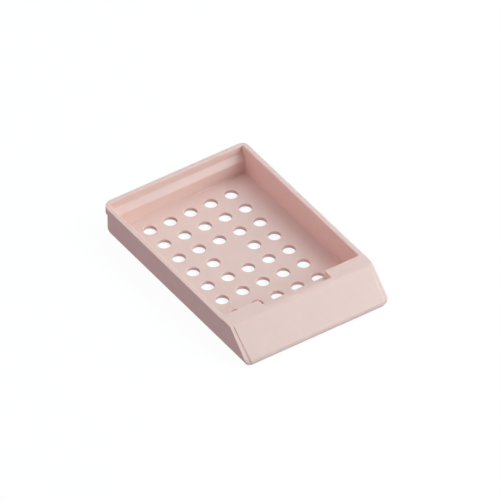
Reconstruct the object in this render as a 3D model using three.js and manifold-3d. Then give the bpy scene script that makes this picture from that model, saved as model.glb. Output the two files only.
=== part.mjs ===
// Base of a tissue cassette: one injection moulding in acetal. It is an open tray with a
// perforated floor, a ledge across its front and a slanted face below that ledge to write on.
// Millimetres. X runs across, +Y towards the back and +Z up. The origin is the centre of the
// part's box, at the level of the table.
import * as THREE from 'three';
import { mergeVertices } from 'three/addons/utils/BufferGeometryUtils.js';
import Module from 'manifold-3d';

// Overall size
const width = 28.5;
const length = 42.4;
const height = 5.7;

// Walls of the tray
const floorThickness = 0.65;
const sideWall = 0.83;
const backWall = 1.68;
const backCorner = 1.5;
const undersideRadius = 1.4;
const trayFillet = 0.25;
const trayCorner = 0.3;

// Lip that runs round the sides and the back of the rim
const lipStep = 0.1;
const lipHeight = 1.3;

// Rebate inside the back wall, with a sloping shoulder below it
const rebateDepth = 0.98;
const rebateHeight = 1.44;
const rebateCorner = 0.3;
const shoulderHeight = 1.0;

// Slanted face to write on: a panel that stands a little proud of the ends of the side walls
const faceAngle = THREE.MathUtils.degToRad(45);
const faceStep = 0.13;
const faceMargin = 0.53;
const faceCorner = 0.9;
const faceWall = 1.1;
const faceTopRadius = 1.0;
const toeRadius = 0.75;
const toeDepth = 1.7;

// Ledge between the slanted face and the tray, and the notch in it for the latch of a lid
const ledgeDepth = 3.13;
const ledgeThickness = 1.0;
const frontWall = 0.9;
const notchWidth = 13.1;
const notchDepth = 1.95;
const notchDrop = 1.3;
const notchFloor = 0.8;

// Round holes in the floor, in rows and columns, with the middle one left out
const holeDiameter = 2.25;
const holeRows = 7;
const holeColumns = 5;
const holeFrontMargin = 4.07;
const holeBackMargin = 3.35;
const holeSideMargin = 5.22;

// How finely the curves are divided, and how far a cutter reaches past the face it cuts
const curveSegments = 8;
const holeSegments = 32;
const overcut = 1;

// Places worked out from the sizes above
const frontY = -length / 2;
const backY = length / 2;
const bodyHalf = width / 2 - lipStep;
const bodyBackY = backY - lipStep;
const trayHalf = bodyHalf - sideWall;
const trayBackY = bodyBackY - backWall;
const toeReach = toeRadius * (1 / Math.tan(faceAngle / 2) - 1);
const faceFootY = frontY - toeReach;
const faceTopY = faceFootY + height / Math.tan(faceAngle);
const trayFrontY = faceTopY + ledgeDepth;

const wasm = await Module();
wasm.setup();

// A closed three.js geometry as a solid that can be joined and cut
function solid(geometry) {
  const shape = geometry.clone();
  shape.deleteAttribute('normal');
  shape.deleteAttribute('uv');
  const merged = mergeVertices(shape, 1e-5);
  return new wasm.Manifold(new wasm.Mesh({
    numProp: 3,
    vertProperties: new Float32Array(merged.attributes.position.array),
    triVerts: new Uint32Array(merged.index.array),
  }));
}

// The solid as a three.js geometry again
function geometryOf(body) {
  const mesh = body.getMesh();
  const geometry = new THREE.BufferGeometry();
  geometry.setAttribute('position', new THREE.BufferAttribute(mesh.vertProperties, 3));
  geometry.setIndex(new THREE.BufferAttribute(mesh.triVerts, 1));
  geometry.computeVertexNormals();
  return geometry;
}

// A box given by its limits along each axis
function block([x0, x1], [y0, y1], [z0, z1]) {
  const geometry = new THREE.BoxGeometry(x1 - x0, y1 - y0, z1 - z0);
  return solid(geometry.translate((x0 + x1) / 2, (y0 + y1) / 2, (z0 + z1) / 2));
}

// A side outline, drawn in Y and Z, carried across from one X to another
function across(outline, [x0, x1]) {
  const geometry = new THREE.ExtrudeGeometry(outline, {
    depth: x1 - x0, bevelEnabled: false, curveSegments,
  });
  const turn = new THREE.Matrix4().makeBasis(
    new THREE.Vector3(0, 1, 0), new THREE.Vector3(0, 0, 1), new THREE.Vector3(1, 0, 0));
  return solid(geometry.applyMatrix4(turn).translate(x0, 0, 0));
}

// An outline through a list of points in Y and Z
function outlineThrough(points) {
  return new THREE.Shape(points.map(([y, z]) => new THREE.Vector2(y, z)));
}

// A plan rectangle, half a width either side of the middle, with its corners rounded
function plan(half, y0, y1, frontRadius, backRadius) {
  const shape = new THREE.Shape();
  shape.absarc(half - backRadius, y1 - backRadius, backRadius, 0, Math.PI / 2, false);
  shape.absarc(-half + backRadius, y1 - backRadius, backRadius, Math.PI / 2, Math.PI, false);
  shape.absarc(-half + frontRadius, y0 + frontRadius, frontRadius, Math.PI, 1.5 * Math.PI, false);
  shape.absarc(half - frontRadius, y0 + frontRadius, frontRadius, 1.5 * Math.PI, 2 * Math.PI, false);
  shape.closePath();
  return shape;
}

// A plan outline raised from one level to another, with its lower edge rounded
function raised(shape, [z0, z1], edgeRadius) {
  const geometry = new THREE.ExtrudeGeometry(shape, {
    depth: z1 - z0 - edgeRadius, bevelEnabled: true, bevelThickness: edgeRadius,
    bevelSize: edgeRadius, bevelOffset: -edgeRadius, bevelSegments: curveSegments, curveSegments,
  });
  const whole = solid(geometry.translate(0, 0, z0 + edgeRadius));
  return whole.intersect(block([-width, width], [-length, length], [z0 - overcut, z1]));
}

// Side outline of the whole part, with the slanted face set back by a step. The face meets the
// table in a round toe and the ledge in a round edge.
function bodyOutline(setBack) {
  const footY = faceFootY + setBack / Math.sin(faceAngle);
  const topY = footY + height / Math.tan(faceAngle);
  const toeY = footY + toeRadius / Math.tan(faceAngle / 2);
  const edgeY = topY + faceTopRadius * Math.tan(faceAngle / 2);
  const faceNormal = Math.PI / 2 + faceAngle;
  const shape = new THREE.Shape();
  shape.absarc(toeY, toeRadius, toeRadius, 1.5 * Math.PI, faceNormal, true);
  shape.absarc(edgeY, height - faceTopRadius, faceTopRadius, faceNormal, Math.PI / 2, true);
  shape.lineTo(length, height);
  shape.lineTo(length, 0);
  shape.closePath();
  return shape;
}

// The outside: side walls with a slanted front end, the panel between them, and the lip
function outside() {
  const panelHalf = bodyHalf - faceMargin;
  const panelPlan = plan(panelHalf, frontY, backY, faceCorner, faceCorner);
  const panel = across(bodyOutline(0), [-panelHalf, panelHalf])
    .intersect(raised(panelPlan, [0, height], 0));
  const side = across(bodyOutline(faceStep), [-width, width]).add(panel);
  const front = frontY - length;
  const body = raised(plan(bodyHalf, front, bodyBackY, backCorner, backCorner), [0, height],
    undersideRadius);
  const lipFrontY = trayFrontY - frontWall;
  const lipPlan = plan(width / 2, front, backY, backCorner, backCorner + lipStep);
  const lip = raised(lipPlan, [height - lipHeight, height], 0)
    .intersect(block([-width, width], [lipFrontY, length], [0, height]));
  return body.intersect(side).add(lip);
}

// The space inside the tray, with rounded corners along the floor and a rebate at the back
function trayCutter() {
  const pocket = raised(plan(trayHalf, trayFrontY, trayBackY, trayCorner, trayCorner),
    [floorThickness, height + overcut], trayFillet);
  const shoulderZ = height - rebateHeight;
  const insideY = trayBackY - overcut;
  const rebate = outlineThrough([
    [insideY, shoulderZ - shoulderHeight],
    [trayBackY, shoulderZ - shoulderHeight],
    [trayBackY + rebateDepth, shoulderZ],
    [trayBackY + rebateDepth, height + overcut],
    [insideY, height + overcut],
  ]);
  const rebatePlan = plan(trayHalf, trayFrontY, trayBackY + rebateDepth, rebateCorner, rebateCorner);
  return across(rebate, [-trayHalf, trayHalf])
    .intersect(raised(rebatePlan, [floorThickness, height + overcut], 0))
    .add(pocket);
}

// The notch in the back edge of the ledge
function notchCutter() {
  const half = notchWidth / 2;
  return block([-half, half], [trayFrontY - notchDepth, trayFrontY + overcut],
    [height - notchDrop, height + overcut]);
}

// The hollow under the ledge and the slanted face, open below, between two X limits
function hollowCutter(limits, ceiling) {
  const faceInsideY = faceFootY + faceWall / Math.sin(faceAngle);
  const footY = frontY + toeDepth;
  const outline = outlineThrough([
    [footY, -overcut],
    [trayFrontY - frontWall, -overcut],
    [trayFrontY - frontWall, ceiling],
    [faceInsideY + ceiling / Math.tan(faceAngle), ceiling],
    [footY, (footY - faceInsideY) * Math.tan(faceAngle)],
  ]);
  return across(outline, limits);
}

// The three parts of that hollow: a low one under the notch and a taller one on each side
function hollows() {
  const notchSide = notchWidth / 2 + notchFloor;
  const tall = height - ledgeThickness;
  const low = height - notchDrop - notchFloor;
  return hollowCutter([-trayHalf, trayHalf], low)
    .add(hollowCutter([-trayHalf, -notchSide], tall))
    .add(hollowCutter([notchSide, trayHalf], tall));
}

// The holes in the floor, evenly spaced between their margins, without the middle one
function holeCutters() {
  const rowPitch = (trayBackY - trayFrontY - holeFrontMargin - holeBackMargin) / (holeRows - 1);
  const columnPitch = 2 * (trayHalf - holeSideMargin) / (holeColumns - 1);
  const drill = new THREE.CylinderGeometry(holeDiameter / 2, holeDiameter / 2,
    floorThickness + 2 * overcut, holeSegments).rotateX(Math.PI / 2);
  const cutters = [];
  for (let row = 0; row < holeRows; row += 1) {
    for (let column = 0; column < holeColumns; column += 1) {
      const middle = 2 * row === holeRows - 1 && 2 * column === holeColumns - 1;
      if (!middle) {
        const x = holeSideMargin - trayHalf + column * columnPitch;
        const y = trayFrontY + holeFrontMargin + row * rowPitch;
        cutters.push(solid(drill.clone().translate(x, y, floorThickness / 2)));
      }
    }
  }
  return wasm.Manifold.union(cutters);
}

function cassetteBase() {
  const body = outside()
    .subtract(trayCutter())
    .subtract(notchCutter())
    .subtract(hollows())
    .subtract(holeCutters());
  const material = new THREE.MeshStandardMaterial({
    color: 0xdfc7c1, roughness: 0.5, metalness: 0,
  });
  const mesh = new THREE.Mesh(geometryOf(body), material);
  mesh.name = 'cassette_base';
  return mesh;
}

const cassette = new THREE.Group();
cassette.add(cassetteBase());

export default cassette;
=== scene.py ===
import math

import bmesh
import bpy
import numpy as np
from mathutils import Matrix, Vector


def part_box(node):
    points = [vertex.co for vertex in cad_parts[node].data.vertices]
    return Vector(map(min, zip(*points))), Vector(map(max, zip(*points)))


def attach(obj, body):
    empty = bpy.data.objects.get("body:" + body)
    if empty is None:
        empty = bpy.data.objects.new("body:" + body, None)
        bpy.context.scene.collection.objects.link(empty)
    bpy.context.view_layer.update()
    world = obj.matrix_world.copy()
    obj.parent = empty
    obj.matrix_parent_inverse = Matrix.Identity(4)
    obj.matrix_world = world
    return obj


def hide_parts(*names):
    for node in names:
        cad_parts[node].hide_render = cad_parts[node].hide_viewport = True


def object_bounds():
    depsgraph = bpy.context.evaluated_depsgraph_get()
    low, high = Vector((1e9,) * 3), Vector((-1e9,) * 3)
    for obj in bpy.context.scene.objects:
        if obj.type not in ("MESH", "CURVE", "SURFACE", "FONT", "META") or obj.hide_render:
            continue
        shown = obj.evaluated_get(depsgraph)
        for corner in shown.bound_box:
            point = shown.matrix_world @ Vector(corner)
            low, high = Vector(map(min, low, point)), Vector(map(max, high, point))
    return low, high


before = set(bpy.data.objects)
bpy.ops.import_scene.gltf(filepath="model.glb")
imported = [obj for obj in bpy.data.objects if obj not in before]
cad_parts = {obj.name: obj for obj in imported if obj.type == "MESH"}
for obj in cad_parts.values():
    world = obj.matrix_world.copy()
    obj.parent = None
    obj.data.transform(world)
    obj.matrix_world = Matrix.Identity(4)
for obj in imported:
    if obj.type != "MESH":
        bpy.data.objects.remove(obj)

cad_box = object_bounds()

# Base of the tissue cassette: one injection moulding in acetal, an open tray with a perforated
# floor and a slanted face to write on. A steel mould gives it every form below, with a small
# radius on each edge. The forms are worked out in millimetres and joined into one body.
MM = 0.001
base_low, base_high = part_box("cassette_base")
HALF = base_high.x / MM
FRONT = base_low.y / MM
BACK = base_high.y / MM
HEIGHT = base_high.z / MM

# Outside below the lip: two side walls and a back wall with a round lower edge, as the part
# leaves that half of the mould. At the front the ends of the side walls slant like the face.
LIP_STEP = 0.1
BODY_HALF = HALF - LIP_STEP
BODY_BACK = BACK - LIP_STEP
BODY_CORNERS = (1.15, 2.2)
LEAST_CORNER = 0.3
UNDERSIDE_RADIUS = 1.4
EDGE = 0.08
FACE_ANGLE = math.radians(45)
FACE_STEP = 0.13
WALL_TOP_RADIUS = 0.5
TOE_RADIUS = 0.75
TOE_CORNER = 0.6
ARC_POINTS = 10
TOE_POINTS = 15
EDGE_POINTS = 7
LEVEL_DIGITS = 6
toe_reach = TOE_RADIUS * (1 / math.tan(FACE_ANGLE / 2) - 1)
face_foot = FRONT - toe_reach


def ring_stack(level, half, front, back, radii, points=ARC_POINTS):
    """Points of a closed form, as rings laid on each other. Each ring is a plan rectangle at one
    level: x to half either side, y from front to back, and each corner an arc of its own radius,
    in turn right back, left back, left front and right front. The first parameter is the level
    and the second runs round the ring."""
    level, half, front, back, *radii = (
        np.broadcast_to(np.asarray(value, float), np.shape(level))[:, None]
        for value in (level, half, front, back, *radii))
    turn = np.linspace(0, np.pi / 2, points)[None, :]
    corners = zip(radii, (1, -1, -1, 1), (back, back, front, front), (1, 1, -1, -1), range(4))
    x, y = [], []
    for radius, side, end, outward, quarter in corners:
        x.append(side * (half - radius) + radius * np.cos(turn + quarter * np.pi / 2))
        y.append(end - outward * radius + radius * np.sin(turn + quarter * np.pi / 2))
    x, y = np.concatenate(x, axis=1), np.concatenate(y, axis=1)
    return np.stack([x, y, np.broadcast_to(level, x.shape)], axis=-1)


def closed_mesh(name, *stacks):
    """One mesh of several ring stacks. Each band between two rings is a strip of four-sided
    faces, and a flat face closes each end."""
    points, faces, start = [], [], 0
    for stack in stacks:
        levels, around = stack.shape[:2]
        index = start + np.arange(levels * around).reshape(levels, around)
        ahead = np.roll(index, -1, axis=1)
        bands = np.stack([index[:-1], ahead[:-1], ahead[1:], index[1:]], axis=-1)
        faces += bands.reshape(-1, 4).tolist()
        faces += [index[0, ::-1].tolist(), index[-1].tolist()]
        points.append(stack.reshape(-1, 3))
        start += levels * around
    mesh = bpy.data.meshes.new(name)
    mesh.from_pydata(np.concatenate(points).tolist(), [], faces)
    form = bpy.data.objects.new(name, mesh)
    bpy.context.scene.collection.objects.link(form)
    return form


def arc_inset(distance, radius):
    """How far a rounded edge draws back at a distance from the face it turns into: a quarter
    circle, so the whole radius at the face and nothing from one radius on."""
    near = np.clip(radius - distance, 0, radius)
    return radius - np.sqrt(radius ** 2 - near ** 2)


def levels_between(low, high, low_radius, high_radius, *others):
    """Levels from low to high, closer together over the rounded edge at each end, with any
    others that are wanted in between."""
    rounded = 1 - np.cos(np.linspace(0, np.pi / 2, EDGE_POINTS))
    levels = np.concatenate([low + low_radius * rounded, high - high_radius * rounded,
                             *map(np.atleast_1d, others)])
    return np.unique(np.round(levels, LEVEL_DIGITS))


def front_outline(level, set_back, edge_radius):
    """Where the front lies at a level: a round toe at the table, then the slanted face, then a
    round edge at the ledge, all moved back by the set-back square to the face."""
    foot = face_foot + set_back / math.sin(FACE_ANGLE)
    toe = foot + TOE_RADIUS / math.tan(FACE_ANGLE / 2)
    edge = foot + HEIGHT / math.tan(FACE_ANGLE) + edge_radius * math.tan(FACE_ANGLE / 2)
    face = foot + level / math.tan(FACE_ANGLE)
    toe_arc = toe - np.sqrt(np.maximum(TOE_RADIUS ** 2 - (level - TOE_RADIUS) ** 2, 0))
    rise = level - (HEIGHT - edge_radius)
    edge_arc = edge - np.sqrt(np.maximum(edge_radius ** 2 - rise ** 2, 0))
    toe_end = TOE_RADIUS * (1 + math.cos(FACE_ANGLE))
    edge_start = HEIGHT - edge_radius * (1 - math.cos(FACE_ANGLE))
    return np.where(level < toe_end, toe_arc, np.where(level > edge_start, edge_arc, face))


def front_levels(edge_radius):
    """Levels that follow the round toe and the round edge of the ledge closely."""
    toe_turn = np.linspace(0, np.pi - FACE_ANGLE, TOE_POINTS)
    edge_turn = np.linspace(0, FACE_ANGLE, EDGE_POINTS)
    return np.concatenate([TOE_RADIUS * (1 - np.cos(toe_turn)),
                           HEIGHT - edge_radius * (1 - np.cos(edge_turn))])


def side_walls():
    """The outside as one solid form, drawn in over the lower edge and the top edge by a quarter
    circle, with the front outline and a lower corner that grows sharper up the toe."""
    level = levels_between(0, HEIGHT, UNDERSIDE_RADIUS, EDGE, front_levels(WALL_TOP_RADIUS))
    under = arc_inset(level, UNDERSIDE_RADIUS)
    top = arc_inset(HEIGHT - level, EDGE)
    front = front_outline(level, FACE_STEP, WALL_TOP_RADIUS)
    toe = np.maximum(TOE_CORNER - (front - FRONT), EDGE)
    back = [np.maximum(corner - under, LEAST_CORNER) for corner in BODY_CORNERS]
    return ring_stack(level, BODY_HALF - under - top, front, BODY_BACK - under, [*back, toe, toe])


base = closed_mesh("cassette_moulding", side_walls())

# Writing face: a flat panel that stands proud of the ends of the side walls and runs over a
# broad round edge into the ledge. Its lower corners are round.
FACE_MARGINS = (0.46, 0.6)
UNDER_MARGIN = 0.05
FACE_TOP_RADIUS = 1.0
FACE_CORNER = 0.9
FACE_EDGE = 0.12
PANEL_EDGE = 0.05
PANEL_DEPTH = 3


def combine(form, other, operation):
    """Joins another form to a form or cuts it away, and removes the other."""
    boolean = form.modifiers.new(operation, "BOOLEAN")
    boolean.operation = operation
    boolean.solver = "EXACT"
    boolean.object = other
    bpy.context.view_layer.update()
    seen = form.evaluated_get(bpy.context.evaluated_depsgraph_get())
    result = bpy.data.meshes.new_from_object(seen)
    form.modifiers.clear()
    form.data = result
    bpy.data.objects.remove(other)


def writing_panel():
    """The panel: the front outline without a set-back, a margin beside it that grows evenly with
    the level or follows the round lower edge of the walls, whichever is more, and lower corners
    that grow sharper up the toe."""
    level = np.unique(np.round(front_levels(FACE_TOP_RADIUS), LEVEL_DIGITS))
    front = front_outline(level, 0, FACE_TOP_RADIUS)
    corner = np.maximum(FACE_CORNER - (front - FRONT), FACE_EDGE)
    margin = FACE_MARGINS[0] + (FACE_MARGINS[1] - FACE_MARGINS[0]) * level / HEIGHT
    margin = np.maximum(margin, arc_inset(level, UNDERSIDE_RADIUS) + UNDER_MARGIN)
    return ring_stack(level, BODY_HALF - margin, front, front + PANEL_DEPTH,
                      [PANEL_EDGE, PANEL_EDGE, corner, corner])


combine(base, closed_mesh("panel", writing_panel()), "UNION")

# Lip: a low band round the sides and the back of the rim, where the two halves of the mould
# meet. At its front ends it fades into the walls.
LIP_HEIGHT = 1.3
LIP_CORNERS = (1.25, 1.75)
LIP_ENDS = (2.4, 0.5)
LIP_FRONT = 0.48
LIP_ARC_POINTS = 24
LEDGE_DEPTH = 3.13
TRAY_FRONT = face_foot + HEIGHT / math.tan(FACE_ANGLE) + LEDGE_DEPTH


def lip():
    """The band as one solid form over the whole plan, its front ends drawn in by large corners,
    with a quarter circle round its lower and its upper edge."""
    level = levels_between(HEIGHT - LIP_HEIGHT, HEIGHT, PANEL_EDGE, EDGE)
    inset = arc_inset(level - (HEIGHT - LIP_HEIGHT), PANEL_EDGE) + arc_inset(HEIGHT - level, EDGE)
    radii = [radius - inset for radius in (*LIP_CORNERS, *LIP_ENDS)]
    front = TRAY_FRONT - LEDGE_DEPTH + LIP_FRONT + inset
    return ring_stack(level, HALF - inset, front, BACK - inset, radii, LIP_ARC_POINTS)


combine(base, closed_mesh("lip", lip()), "UNION")

# Tray: the space for the tissue. The core that forms it leaves walls with a little draft, a
# fillet along the floor and a round inner edge on the rim. The back wall has a slanted shoulder
# with a rebate above it, where the tongue of a lid would go.
FLOOR_TOP = 0.65
SIDE_WALL = 0.83
BACK_WALL = 1.68
TRAY_HALF = BODY_HALF - SIDE_WALL
TRAY_BACK = BODY_BACK - BACK_WALL
TRAY_FILLET = 0.22
TRAY_CORNER = 0.25
TRAY_DRAFT = 0.1
RIM = 0.2
LEDGE_EDGE = 0.12
REBATE_DEPTH = 0.98
REBATE_HEIGHT = 1.44
SHOULDER_HEIGHT = 1.0
SHOULDER_SOFTNESS = 0.06
SHOULDER_RUN_OUT = 0.3
SHOULDER_POINTS = 17
CUT_OVERRUN = 1


def tray_space():
    """The space as one solid form: its half width falls by the draft and the fillet, and grows
    by the flare at the rim. Its back also moves out by the depth of the rebate over a straight
    ramp, half of one plus the difference of two hyperbolas, which rounds both its ends."""
    shoulder_low = HEIGHT - REBATE_HEIGHT - SHOULDER_HEIGHT
    steps = np.linspace(-SHOULDER_RUN_OUT, 1 + SHOULDER_RUN_OUT, SHOULDER_POINTS)
    level = levels_between(FLOOR_TOP, HEIGHT, TRAY_FILLET, RIM, HEIGHT + CUT_OVERRUN,
                           shoulder_low + SHOULDER_HEIGHT * steps)
    fillet = arc_inset(level - FLOOR_TOP, TRAY_FILLET)
    flare = arc_inset(HEIGHT - level, RIM)
    draft = TRAY_DRAFT * np.clip((HEIGHT - level) / HEIGHT, 0, 1)
    climb = (level - shoulder_low) / SHOULDER_HEIGHT
    ramp = (np.hypot(climb, SHOULDER_SOFTNESS) - np.hypot(climb - 1, SHOULDER_SOFTNESS) + 1) / 2
    edge = arc_inset(HEIGHT - level, LEDGE_EDGE)
    corner = TRAY_CORNER - fillet + flare
    return ring_stack(level, TRAY_HALF - draft - fillet + flare, TRAY_FRONT + fillet - edge,
                      TRAY_BACK - fillet + REBATE_DEPTH * ramp + edge, [corner] * 4)


combine(base, closed_mesh("tray", tray_space()), "DIFFERENCE")

# Notch in the back edge of the ledge: a shallow pocket with a flat bottom, which holds the latch
# of a lid.
NOTCH_WIDTH = 13.1
NOTCH_DEPTH = 1.95
NOTCH_DROP = 1.3
NOTCH_CORNER = 0.14


def latch_notch():
    """The pocket as one solid form, drawn in over its lower edge and flared at the ledge."""
    low = HEIGHT - NOTCH_DROP
    level = levels_between(low, HEIGHT, LEDGE_EDGE, LEDGE_EDGE, HEIGHT + CUT_OVERRUN)
    spread = arc_inset(HEIGHT - level, LEDGE_EDGE) - arc_inset(level - low, LEDGE_EDGE)
    corner = NOTCH_CORNER + spread
    return ring_stack(level, NOTCH_WIDTH / 2 + spread, TRAY_FRONT - NOTCH_DEPTH - spread,
                      TRAY_FRONT + CUT_OVERRUN, [LEDGE_EDGE, LEDGE_EDGE, corner, corner])


combine(base, closed_mesh("notch", latch_notch()), "DIFFERENCE")

# Hollow under the ledge and the face: open below, so that the plastic is about as thick there
# as in the walls and cools evenly. It is lower under the notch than on either side of it.
FRONT_WALL = 0.9
NOTCH_FLOOR = 0.8
LEDGE_THICKNESS = 1.0
TOE_DEPTH = 1.7
FACE_WALL = 1.1
HOLLOW_CORNER = 0.15


def hollow(centre, half, ceiling):
    """One part of the hollow as a solid form, from below the table to its ceiling. Its front is
    upright behind the toe, then follows the inside of the slanted face."""
    inside_foot = face_foot + FACE_WALL / math.sin(FACE_ANGLE)
    knee = (FRONT + TOE_DEPTH - inside_foot) * math.tan(FACE_ANGLE)
    level = np.array([-CUT_OVERRUN, 0, knee, ceiling])
    front = np.maximum(FRONT + TOE_DEPTH, inside_foot + level / math.tan(FACE_ANGLE))
    back = TRAY_FRONT - FRONT_WALL
    return ring_stack(level, half, front, back, [HOLLOW_CORNER] * 4) + [centre, 0, 0]


notch_side = NOTCH_WIDTH / 2 + NOTCH_FLOOR
side_middle = (TRAY_HALF + notch_side) / 2
side_half = (TRAY_HALF - notch_side) / 2
low_hollow = hollow(0, TRAY_HALF, HEIGHT - NOTCH_DROP - NOTCH_FLOOR)
side_hollows = [hollow(side * side_middle, side_half, HEIGHT - LEDGE_THICKNESS)
                for side in (-1, 1)]
combine(base, closed_mesh("low hollow", low_hollow), "DIFFERENCE")
combine(base, closed_mesh("side hollows", *side_hollows), "DIFFERENCE")

# Holes for the processing fluids: seven rows of five through the floor, each formed by a round
# pin with a soft edge. The one in the middle is left out, where the plastic enters the mould.
HOLE_DIAMETER = 2.25
HOLE_EDGES = (0.03, 0.12)
ROW_MARGINS = (4.07, 3.35)
COLUMN_MARGIN = 5.22
ROWS = 7
COLUMNS = 5
PIN_OVERRUN = 0.4
PIN_ARC_POINTS = 13


def hole(x, y):
    """A round pin, from below the floor to above it, which spreads over a quarter circle at the
    two faces of the floor."""
    level = levels_between(0, FLOOR_TOP, *HOLE_EDGES, -PIN_OVERRUN, FLOOR_TOP + PIN_OVERRUN)
    spread = arc_inset(level, HOLE_EDGES[0]) + arc_inset(FLOOR_TOP - level, HOLE_EDGES[1])
    radius = HOLE_DIAMETER / 2 + spread
    pin = ring_stack(level, radius, -radius, radius, [radius] * 4, PIN_ARC_POINTS)
    return pin + [x, y, 0]


row_places = np.linspace(TRAY_FRONT + ROW_MARGINS[0], TRAY_BACK - ROW_MARGINS[1], ROWS)
column_places = np.linspace(-1, 1, COLUMNS) * (TRAY_HALF - COLUMN_MARGIN)
holes = [hole(column_places[i], row_places[j]) for j in range(ROWS) for i in range(COLUMNS)
         if (i, j) != (COLUMNS // 2, ROWS // 2)]
combine(base, closed_mesh("holes", *holes), "DIFFERENCE")

# One clean skin on the moulding: points that lie together are merged and stray edges go. Round
# edges then shade smoothly, and flat faces stay flat.
MERGE = 1e-4
SHARP_ANGLE = math.radians(42)
skin = bmesh.new()
skin.from_mesh(base.data)
bmesh.ops.remove_doubles(skin, verts=skin.verts, dist=MERGE)
bmesh.ops.dissolve_degenerate(skin, edges=skin.edges, dist=MERGE)
bmesh.ops.delete(skin, geom=[edge for edge in skin.edges if edge.is_wire], context="EDGES")
for face in skin.faces:
    face.smooth = True
for edge in skin.edges:
    edge.smooth = edge.calc_face_angle(0) < SHARP_ANGLE
skin.to_mesh(base.data)
skin.free()
base.data.transform(Matrix.Scale(MM, 4))
flat_faces = base.modifiers.new("flat faces", "WEIGHTED_NORMAL")
flat_faces.keep_sharp = True


def linear(hex_colour):
    """The linear colour of an sRGB hex value, with full opacity: near black each part is divided
    by 12.92, and above that it follows a power of 2.4."""
    parts = [int(hex_colour[i:i + 2], 16) / 255 for i in (1, 3, 5)]
    return [part / 12.92 if part < 0.04045 else ((part + 0.055) / 1.055) ** 2.4
            for part in parts] + [1]


def add_node(tree, kind, links=(), **settings):
    """Adds a node of a kind to a material's tree. A setting names a socket or a property, and a
    link is (socket to feed, node, socket of that node)."""
    node = tree.nodes.new(kind)
    for key, value in settings.items():
        if key in node.bl_rna.properties:
            setattr(node, key, value)
    for key, value in settings.items():
        if key not in node.bl_rna.properties:
            node.inputs[key.replace("_", " ")].default_value = value
    for socket, source, output in links:
        tree.links.new(source.outputs[output], node.inputs[socket])
    return node


# Acetal is a dense, waxy plastic. Light goes a fraction of a millimetre into it and comes out
# warmer, so creases and shaded walls look pinker and edges soft. The mould is spark-eroded,
# which gives a satin surface without clear reflections.
CLOUD_SIZE = 2.2
GRAIN_SIZE = 0.3
GRAIN_HEIGHT = 0.004
CLOUD_COLOURS = ("#efcabf", "#f3d0c5")
SATIN_ROUGHNESS = 0.45
ACETAL_IOR = 1.48
SCATTER_DEPTH = 0.3
SCATTER_BY_COLOUR = (1, 0.9, 0.85)


def moulded_acetal():
    """Acetal dyed pale pink. The dye lies in faint clouds of about two millimetres. The grain of
    a spark-eroded mould is about 0.05 mm wide, and is drawn at 0.3 mm so that it shows."""
    material = bpy.data.materials.new("moulded acetal")
    material.use_nodes = True
    tree = material.node_tree
    tree.nodes.clear()
    place = add_node(tree, "ShaderNodeTexCoord")
    cloud = add_node(tree, "ShaderNodeTexNoise", Scale=1 / (CLOUD_SIZE * MM), Detail=2,
                     Roughness=0.5, links=[("Vector", place, "Object")])
    # A Mix node has its two colours at inputs 6 and 7, and the mixed one at output 2.
    tint = add_node(tree, "ShaderNodeMix", data_type="RGBA", links=[(0, cloud, 0)])
    tint.inputs[6].default_value = linear(CLOUD_COLOURS[0])
    tint.inputs[7].default_value = linear(CLOUD_COLOURS[1])
    grain = add_node(tree, "ShaderNodeTexNoise", Scale=1 / (GRAIN_SIZE * MM), Detail=1,
                     links=[("Vector", place, "Object")])
    bump = add_node(tree, "ShaderNodeBump", Strength=1, Distance=GRAIN_HEIGHT * MM,
                    links=[("Height", grain, 0)])
    surface = add_node(tree, "ShaderNodeBsdfPrincipled", Roughness=SATIN_ROUGHNESS,
                       IOR=ACETAL_IOR, Subsurface_Weight=1, Subsurface_Radius=SCATTER_BY_COLOUR,
                       Subsurface_Scale=SCATTER_DEPTH * MM,
                       links=[("Base Color", tint, 2), ("Normal", bump, 0)])
    add_node(tree, "ShaderNodeOutputMaterial", links=[("Surface", surface, 0)])
    return material


base.data.materials.clear()
base.data.materials.append(moulded_acetal())
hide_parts("cassette_base")
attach(base, "root")

# Floor: a sheet of plain white paper on a light table, so the part leaves no shadow round it. A
# patch of its own lies under the part and glows less than the rest: painted shade under the part,
# seen through the holes. The floor shines at the eye but not on the part, and lies a hundredth of
# a millimetre below it, so that the two surfaces never coincide.
FLOOR_REACH = 3
UNDER_REACH = Vector((0.0125, 0.0175))
FLOOR_GAP = 0.00001
floor_mesh = bpy.data.meshes.new("floor")
signs = ((-1, -1), (1, -1), (1, 1), (-1, 1))
corners = [(x * FLOOR_REACH, y * FLOOR_REACH, -FLOOR_GAP) for x, y in signs]
corners += [(x * UNDER_REACH.x, y * UNDER_REACH.y, -FLOOR_GAP) for x, y in signs]
sheets = [(i, (i + 1) % 4, 4 + (i + 1) % 4, 4 + i) for i in range(4)]
floor_mesh.from_pydata(corners, [], [*sheets, (4, 5, 6, 7)])
floor = bpy.data.objects.new("floor", floor_mesh)
bpy.context.scene.collection.objects.link(floor)


def white_paper(name, colour, glow):
    """Matt white paper with a glow from the light table under it."""
    material = bpy.data.materials.new(name)
    material.use_nodes = True
    surface = material.node_tree.nodes["Principled BSDF"]
    surface.inputs["Base Color"].default_value = linear(colour)
    surface.inputs["Roughness"].default_value = 1
    surface.inputs["Specular IOR Level"].default_value = 0
    surface.inputs["Emission Color"].default_value = linear("#ffffff")
    surface.inputs["Emission Strength"].default_value = glow
    return material


floor_mesh.materials.append(white_paper("backlit white paper", colour="#4a4a4a", glow=0.945))
# The patch under the part glows less than the open floor: painted shade under the part.
floor_mesh.materials.append(white_paper("white paper", colour="#8c8c8c", glow=0.78))
floor_mesh.polygons[4].material_index = 1
floor.visible_diffuse = floor.visible_glossy = floor.visible_shadow = False

# Studio light: a large soft box at the right of the face, one overhead, a weak warm one on the
# left, and an even pale glow from all round. A weak one low in front and a small one close to
# the toe stand for the light that the paper throws back.
object_middle = (cad_box[0] + cad_box[1]) / 2
toe_middle = Vector((0, cad_box[0].y, 0))


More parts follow.
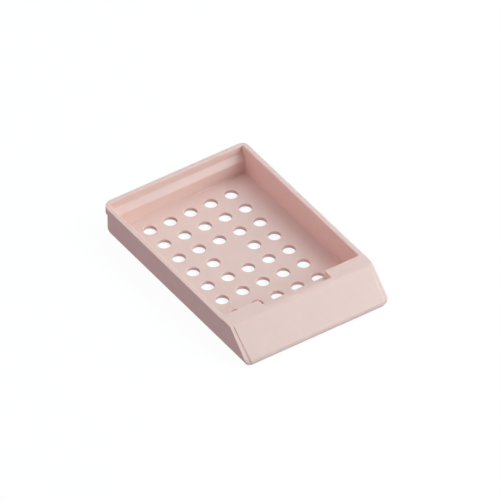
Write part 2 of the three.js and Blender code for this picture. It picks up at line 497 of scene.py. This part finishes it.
def soft_box(name, azimuth, elevation, power, colour, distance=0.35, side=0.3,
             aim=object_middle):
    """A square soft light that faces a point, the middle of the object unless another is given.
    Azimuth runs from +X towards +Y and elevation from the table, in degrees."""
    azimuth, elevation = math.radians(azimuth), math.radians(elevation)
    out = Vector((math.cos(azimuth) * math.cos(elevation), math.sin(azimuth) * math.cos(elevation),
                  math.sin(elevation)))
    data = bpy.data.lights.new(name, "AREA")
    data.size = side
    data.energy = power
    data.color = linear(colour)[:3]
    lamp = bpy.data.objects.new(name, data)
    lamp.location = aim + out * distance
    lamp.rotation_euler = (-out).to_track_quat("-Z", "Y").to_euler()
    bpy.context.scene.collection.objects.link(lamp)


soft_box("key light", azimuth=320, elevation=32, power=1.15, colour="#e6fdff")
soft_box("overhead light", azimuth=60, elevation=60, power=0.565, colour="#e4ffff",
         distance=0.4, side=0.4)
soft_box("fill light", azimuth=170, elevation=25, power=0.32, colour="#ffe0de")
soft_box("low front light", azimuth=285, elevation=-20, power=0.11, colour="#ffffff")
soft_box("paper at the toe", azimuth=270, elevation=-50, power=0.0009, colour="#ffffff",
         distance=0.02, side=0.03, aim=toe_middle)
world = bpy.data.worlds.new("studio")
world.use_nodes = True
glow = world.node_tree.nodes["Background"]
glow.inputs["Color"].default_value = linear("#dee9ff")
glow.inputs["Strength"].default_value = 0.315
bpy.context.scene.world = world

# Camera: a long lens, above the part and in front of it on the left. It stands far off, so
# that edges which are parallel on the part stay nearly parallel in the view.
CAMERA_AZIMUTH = math.radians(-34.267)
CAMERA_ELEVATION = math.radians(40.599)
CAMERA_DISTANCE = 2.421
camera_aim = Vector((0.000466, -0.000692, 0.004036))
camera_back = Vector((math.sin(CAMERA_AZIMUTH) * math.cos(CAMERA_ELEVATION),
                      -math.cos(CAMERA_AZIMUTH) * math.cos(CAMERA_ELEVATION),
                      math.sin(CAMERA_ELEVATION)))
camera_data = bpy.data.cameras.new("camera")
camera_data.lens = 1061
camera_data.clip_end = 10
camera = bpy.data.objects.new("camera", camera_data)
camera.location = camera_aim + camera_back * CAMERA_DISTANCE
camera.rotation_mode = "QUATERNION"
camera.rotation_quaternion = (-camera_back).to_track_quat("-Z", "Y")
bpy.context.scene.collection.objects.link(camera)
bpy.context.scene.camera = camera
bpy.context.scene.view_settings.view_transform = "Standard"
